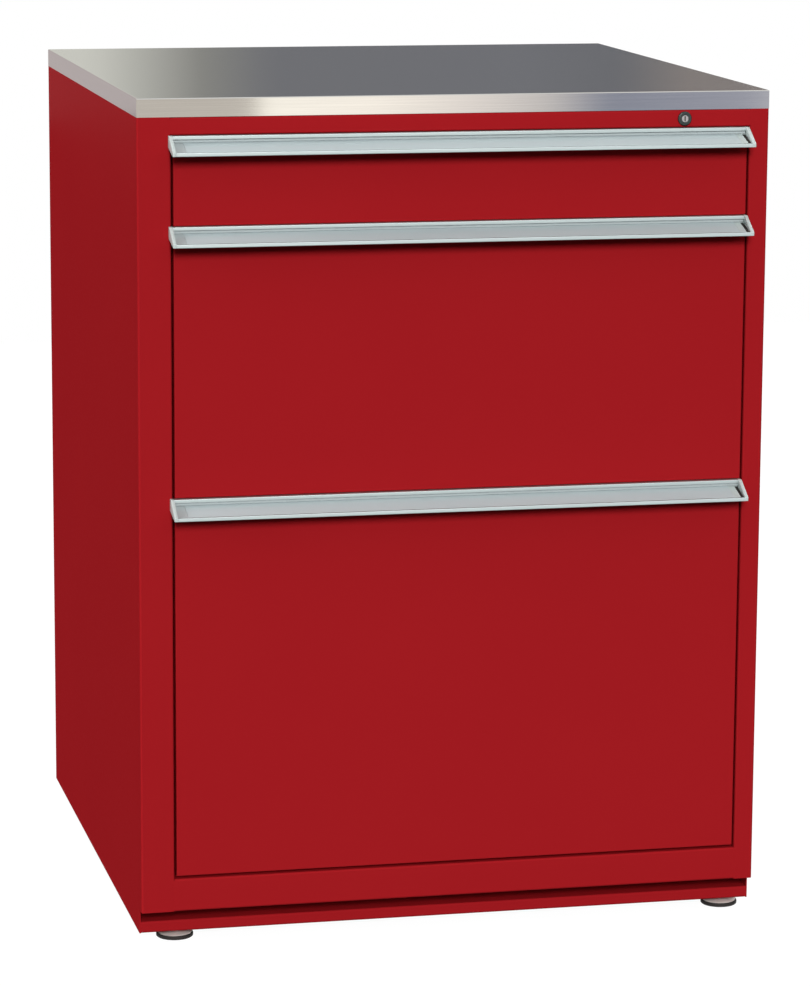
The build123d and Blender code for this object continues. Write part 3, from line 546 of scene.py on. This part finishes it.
radius, height = PAD_RINGS[0][0], 0.0
bpy.ops.object.select_all(action="DESELECT")
bpy.ops.mesh.primitive_circle_add(vertices=PAD_SIDES, radius=radius * MM, fill_type="NGON")
pad = bpy.context.object
pad.name = "turned_foot_pad"
bpy.ops.object.mode_set(mode="EDIT")
bpy.ops.mesh.select_all(action="SELECT")
for next_radius, next_height in PAD_RINGS:
    bpy.ops.mesh.extrude_region_move(TRANSFORM_OT_translate={"value": (0, 0, (next_height - height) * MM)})
    share = next_radius / radius
    bpy.ops.transform.resize(value=(share, share, 1), center_override=(0, 0, next_height * MM))
    radius, height = next_radius, next_height
bpy.ops.mesh.select_all(action="SELECT")
bpy.ops.mesh.normals_make_consistent(inside=False)
bpy.ops.object.mode_set(mode="OBJECT")
smooth(pad, 35)
pad.data.materials.append(black_rubber_and_shade)
pad.data.materials.append(satin_nickel)
for face in pad.data.polygons:
    face.material_index = 0 if face.center.z < TREAD_HEIGHT else 1
print("foot pad:", len(pad.data.polygons), "faces")

# %% [markdown]
# ## Levelling feet: threaded stems
#
# The stem is an M10 stud with a spanner collar. A texture of stripes would pass from afar, but the thread
# shows when a foot is screwed out, so it is real: one tooth of the thread is drawn as three points and swept
# up a helix by the Screw modifier. The ends are cut flat by two bisections that also close them. The collar
# is a six-sided cylinder with its edges broken, fused on with a boolean.


# %% One tooth of the thread
def pick(piece, kind, test):
    """Goes into edit mode with only those vertices (VERT) or faces (FACE) selected that pass the test."""
    bpy.ops.object.mode_set(mode="EDIT")
    bpy.ops.mesh.select_mode(type=kind)
    bpy.ops.mesh.select_all(action="DESELECT")
    bpy.ops.object.mode_set(mode="OBJECT")
    if kind == "VERT":
        for vertex in piece.data.vertices:
            vertex.select = test(vertex.co)
    else:
        for face in piece.data.polygons:
            face.select = test(face.center)
    bpy.ops.object.mode_set(mode="EDIT")


THREAD_PITCH = 1.5 * MM
THREAD_DEPTH = 0.8 * MM
STEM_RADIUS = 5.0 * MM
TOLERANCE = 0.1 * MM
stem_low, stem_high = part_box("front_left_foot_stem")
tooth_z = stem_low.z - THREAD_PITCH
root = STEM_RADIUS - THREAD_DEPTH

bpy.ops.object.select_all(action="DESELECT")
bpy.ops.mesh.primitive_plane_add(size=THREAD_PITCH)
stem = bpy.context.object
stem.name = "threaded_stem"
pick(stem, "VERT", lambda place: place.x < 0)
bpy.ops.mesh.delete(type="VERT")
bpy.ops.mesh.select_all(action="SELECT")
bpy.ops.transform.rotate(value=math.pi / 2, orient_axis="X", center_override=(0, 0, 0))
bpy.ops.transform.translate(value=(root - THREAD_PITCH / 2, 0, tooth_z))
bpy.ops.mesh.subdivide(number_cuts=1)
bpy.ops.object.mode_set(mode="OBJECT")
pick(stem, "VERT", lambda place: abs(place.z - tooth_z) < TOLERANCE)
bpy.ops.transform.translate(value=(THREAD_DEPTH, 0, 0))
bpy.ops.object.mode_set(mode="OBJECT")
print("thread tooth:", len(stem.data.vertices), "points, root at", round(root / MM, 2), "mm")


# %% Thread, swept up and trimmed
def shape_with(piece, kind, **settings):
    """Adds a modifier of this kind with its settings and applies it."""
    modifier = piece.modifiers.new(kind.lower(), kind)
    for name, value in settings.items():
        setattr(modifier, name, value)
    bpy.context.view_layer.objects.active = piece
    bpy.ops.object.modifier_apply(modifier=modifier.name)


THREAD_STEPS = 32
SPARE_TURNS = 4
MERGE_DISTANCE = 0.001 * MM
turns = int((stem_high.z - stem_low.z) / THREAD_PITCH) + SPARE_TURNS

shape_with(stem, "SCREW", screw_offset=THREAD_PITCH, iterations=turns, steps=THREAD_STEPS,
           render_steps=THREAD_STEPS, use_smooth_shade=False)
bpy.ops.object.mode_set(mode="EDIT")
bpy.ops.mesh.select_all(action="SELECT")
bpy.ops.mesh.remove_doubles(threshold=MERGE_DISTANCE)
bpy.ops.mesh.bisect(plane_co=(0, 0, stem_high.z), plane_no=(0, 0, 1), use_fill=True, clear_outer=True)
bpy.ops.mesh.select_all(action="SELECT")
bpy.ops.mesh.bisect(plane_co=(0, 0, stem_low.z), plane_no=(0, 0, 1), use_fill=True, clear_inner=True)
bpy.ops.mesh.select_all(action="SELECT")
bpy.ops.mesh.normals_make_consistent(inside=False)
bpy.ops.object.mode_set(mode="OBJECT")
print("thread:", turns, "turns swept,", len(stem.data.polygons), "faces after trimming")

# %% Spanner collar, fused on
COLLAR_RADIUS = 8.5 * MM
COLLAR_HEIGHT = 4.0 * MM
COLLAR_BEVEL = 0.5 * MM
pad_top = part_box("front_left_foot_pad")[1].z

bpy.ops.object.select_all(action="DESELECT")
bpy.ops.mesh.primitive_cylinder_add(vertices=6, radius=COLLAR_RADIUS, depth=COLLAR_HEIGHT)
collar = bpy.context.object
bpy.ops.object.mode_set(mode="EDIT")
bpy.ops.mesh.select_all(action="SELECT")
bpy.ops.transform.rotate(value=math.pi / 2, orient_axis="Z", center_override=(0, 0, 0))
bpy.ops.transform.translate(value=(0, 0, pad_top + COLLAR_HEIGHT / 2))
bpy.ops.mesh.bevel(offset=COLLAR_BEVEL, segments=2, affect="EDGES")
bpy.ops.object.mode_set(mode="OBJECT")
shape_with(stem, "BOOLEAN", operation="UNION", solver="EXACT", object=collar)
bpy.data.objects.remove(collar)
stem.data.materials.clear()
stem.data.materials.append(zinc)
print("stem with collar:", len(stem.data.polygons), "faces")


# %% Four feet in their places
def copy_to(piece, name, shift):
    """A copy of a piece, with a mesh of its own, moved by this much."""
    twin = piece.copy()
    twin.data = piece.data.copy()
    twin.name = name
    twin.data.transform(Matrix.Translation(shift))
    bpy.context.scene.collection.objects.link(twin)
    return twin


FEET = ("front_left", "front_right", "rear_left", "rear_right")

for foot in FEET:
    low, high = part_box(foot + "_foot_pad")
    place = Vector(((low.x + high.x) / 2, (low.y + high.y) / 2, 0))
    for model, node, slot in ((pad, "_foot_pad", "foot_steel"), (stem, "_foot_stem", "zinc_plate")):
        piece = copy_to(model, foot + "_" + model.name, place)
        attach(piece, foot + "_foot")
        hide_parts(foot + node)
for model in (pad, stem):
    bpy.data.objects.remove(model)
print("placed", len(FEET), "feet")

# %% [markdown]
# ## Handle end caps
#
# A moulded cap has no knife edges: its mould is cut with a small radius everywhere. The frame's caps are
# sharp, so a copy of them is merged from loose triangles to clean faces, and a Bevel modifier rounds it by
# half a millimetre. That rounding catches the light as a thin bright line. It is done on the top pair, and
# copied down.


# %% A clean copy of the caps
FLAT_ANGLE = math.radians(1)


def merged_copy(node, name):
    """A free copy of a frame's piece, merged from loose triangles to clean faces."""
    piece = copy_to(nodes[node], name, (0, 0, 0))
    piece.parent = None
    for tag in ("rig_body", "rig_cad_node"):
        del piece[tag]
    pick_only(piece)
    bpy.ops.object.mode_set(mode="EDIT")
    bpy.ops.mesh.select_all(action="SELECT")
    bpy.ops.mesh.remove_doubles(threshold=MERGE_DISTANCE)
    bpy.ops.mesh.dissolve_limited(angle_limit=FLAT_ANGLE)
    bpy.ops.object.mode_set(mode="OBJECT")
    return piece


caps = merged_copy("top_handle_caps", "rounded_end_caps")
print("sharp caps:", len(caps.data.polygons), "faces")


# %% Rounded end caps
def round_edges(piece, width, segments, sharper_than):
    """Bevels the edges where the faces turn by more than this angle in degrees."""
    shape_with(piece, "BEVEL", width=width, segments=segments, limit_method="ANGLE",
               angle_limit=math.radians(sharper_than))


def on_each_drawer(model, name, beside, stands_for=None):
    """Copies a piece made for the top drawer to all three, level with the node beside it, and deletes it."""
    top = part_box("top" + beside)[1].z
    for drawer in DRAWERS:
        piece = copy_to(model, drawer + "_" + name, (0, 0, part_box(drawer + beside)[1].z - top))
        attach(piece, drawer + "_drawer")
        if stands_for:
            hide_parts(drawer + stands_for)
    bpy.data.objects.remove(model)


DRAWERS = ("top", "middle", "bottom")
CAP_RADIUS = 0.5 * MM

round_edges(caps, CAP_RADIUS, segments=3, sharper_than=40)
smooth(caps, 30)
print("caps:", len(caps.data.polygons), "faces on each of", len(DRAWERS), "handles")
on_each_drawer(caps, "rounded_end_caps", "_handle_caps", stands_for="_handle_caps")

# %% [markdown]
# ## Label stops
#
# At the ends of each label channel sit two small plastic blocks that keep the strip from sliding out: a wide
# grey one at the left, and a narrow silver one at the right, short of the slot there. The left one's darker
# grey is painted shade, for the shade on the channel's bare end. A block starts as a cube at its real size,
# has its top face inset and sunk for a thumbnail, its edges broken, and is then turned to the channel's slope
# and set down on its floor.

# %% The label channel
LABEL_THICK = 1.2 * MM
label_low, label_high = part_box("top_label_strip")
handle_low, handle_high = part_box("top_handle")
channel = (label_low + label_high) / 2
slope = math.atan2(label_high.z - label_low.z - LABEL_THICK, label_high.y - label_low.y)
run = (label_high.y - label_low.y) / math.cos(slope)
tilt = Matrix.Rotation(slope, 4, "X")
print("channel", round(run / MM, 1), "mm wide, sloping", round(math.degrees(slope), 1), "degrees")


# %% Label stop blocks
def add_block(size):
    """A cube at this size, round the origin."""
    bpy.ops.object.select_all(action="DESELECT")
    bpy.ops.mesh.primitive_cube_add(size=1.0)
    block = bpy.context.object
    bpy.ops.object.mode_set(mode="EDIT")
    bpy.ops.mesh.select_all(action="SELECT")
    bpy.ops.transform.resize(value=size)
    bpy.ops.object.mode_set(mode="OBJECT")
    return block


def label_stop(name, low_x, high_x, finish):
    """A block across the channel between two places along X, in every handle."""
    block = add_block((high_x - low_x - STOP_PLAY, run - STOP_PLAY, STOP_THICK))
    pick(block, "FACE", lambda middle: middle.z > STOP_THICK / 4)
    bpy.ops.mesh.inset(thickness=STOP_RIM)
    bpy.ops.transform.translate(value=(0, 0, -STOP_SUNK))
    bpy.ops.object.mode_set(mode="OBJECT")
    round_edges(block, STOP_BEVEL, segments=2, sharper_than=20)
    block.data.transform(Matrix.Translation(((low_x + high_x) / 2, channel.y, channel.z)) @ tilt)
    smooth(block, 30)
    block.data.materials.append(finish)
    on_each_drawer(block, name, "_label_strip")
    print(name, round((high_x - low_x) / MM, 1), "by", round(run / MM, 1), "mm")


SLOT_WIDTH = 4.0 * MM
STOP_THICK = 1.1 * MM
STOP_PLAY = 0.3 * MM
STOP_RIM = 2.2 * MM
STOP_SUNK = 0.5 * MM
STOP_BEVEL = 0.25 * MM

# The left stop takes the darker grey, which is painted shade.
label_stop("label_stop", handle_low.x, label_low.x, shade_grey_plastic)
label_stop("label_end", label_high.x, handle_high.x - SLOT_WIDTH, cap_plastic)

# %% [markdown]
# ## Label retainers
#
# Under the lip of each pull a grey plastic strip is clipped, whose lower edge holds the label's upper one
# down. Its darker grey is painted shade: it makes the darker line between the lip and the label, where the
# lip shades the channel. It could be extruded from a drawn outline. A long cube with its lower front edge
# beveled round gives the same shape in two steps.

# %% Retainer strips
RETAINER_THICK = 1.3 * MM
RETAINER_ROUND = 0.8 * MM
RETAINER_BEVEL = 0.1 * MM
RETAINER_FIT = 0.05 * MM
LIP_DROP = 4.0 * MM
WALL = 3.0 * MM
END_PLAY = 0.2 * MM
retainer_top = handle_high.z - LIP_DROP - RETAINER_FIT
retainer_back = handle_high.y - WALL - RETAINER_FIT
retainer_size = Vector((
    handle_high.x - handle_low.x - 2 * END_PLAY, RETAINER_THICK, retainer_top - label_high.z - RETAINER_FIT))

retainer = add_block(retainer_size)
pick(retainer, "VERT", lambda place: place.y < 0 and place.z < 0)
bpy.ops.mesh.select_mode(type="EDGE")
bpy.ops.mesh.bevel(offset=RETAINER_ROUND, segments=4, affect="EDGES")
bpy.ops.object.mode_set(mode="OBJECT")
round_edges(retainer, RETAINER_BEVEL, segments=1, sharper_than=60)
retainer_middle = Vector((
    (handle_low.x + handle_high.x) / 2,
    retainer_back - RETAINER_THICK / 2,
    retainer_top - retainer_size.z / 2))
retainer.data.transform(Matrix.Translation(retainer_middle))
smooth(retainer, 30)
# The strip's darker grey is painted shade under the lip.
retainer.data.materials.append(shade_grey_plastic)
on_each_drawer(retainer, "label_retainer_painted_shade", "_handle")
print("retainers", round(retainer_size.z / MM, 2), "mm high")

# %% [markdown]
# ## Slot plugs
#
# The channel has a slot through its floor at the right end, closed by a black rubber plug. Its black is
# painted shade, for the dark seen through the open slot. A plain dark box would do from the front, but a plug
# has a thin flange on top and a body below, so the bottom face of a flat cube is narrowed and extruded down
# into the slot.

# %% Rubber slot plugs
PLUG_FLANGE = Vector((3.2, 27.0, 0.8)) * MM
PLUG_BODY = Vector((2.6, 19.0, 1.8)) * MM
PLUG_INSET = 0.1 * MM
PLUG_BEVEL = 0.25 * MM

plug = add_block(PLUG_FLANGE)
pick(plug, "FACE", lambda middle: middle.z < -PLUG_FLANGE.z / 4)
bpy.ops.mesh.inset(thickness=PLUG_INSET)
narrow = [PLUG_BODY[axis] / (PLUG_FLANGE[axis] - 2 * PLUG_INSET) for axis in (0, 1)]
bpy.ops.transform.resize(value=(*narrow, 1))
bpy.ops.mesh.extrude_region_move(TRANSFORM_OT_translate={"value": (0, 0, -PLUG_BODY.z)})
bpy.ops.object.mode_set(mode="OBJECT")
round_edges(plug, PLUG_BEVEL, segments=3, sharper_than=40)
slot_x = handle_high.x - SLOT_WIDTH / 2
down_to_floor = Matrix.Translation((0, 0, (PLUG_FLANGE.z - LABEL_THICK) / 2))
plug.data.transform(Matrix.Translation((slot_x, channel.y, channel.z)) @ tilt @ down_to_floor)
smooth(plug, 30)
# The plug's black is painted shade in the slot.
plug.data.materials.append(black_rubber_and_shade)
on_each_drawer(plug, "slot_plug_painted_shade", "_label_strip")
print("slot plugs at x =", round(slot_x / MM, 1), "mm")

# %% [markdown]
# ## Lock ring
#
# The lock's turned ring stands 3 mm proud of the rail. A black chrome ring is seen by its highlights alone,
# and a highlight needs a rounded edge to sit on, so the frame's lock body is copied, merged, and beveled
# finely.

# %% Rounded lock ring
RING_RADIUS = 0.3 * MM

ring = merged_copy("lock_cylinder", "lock_ring")
round_edges(ring, RING_RADIUS, segments=3, sharper_than=35)
smooth(ring, 40)
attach(ring, "cabinet")
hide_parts("lock_cylinder")
print("lock ring:", len(ring.data.polygons), "faces")
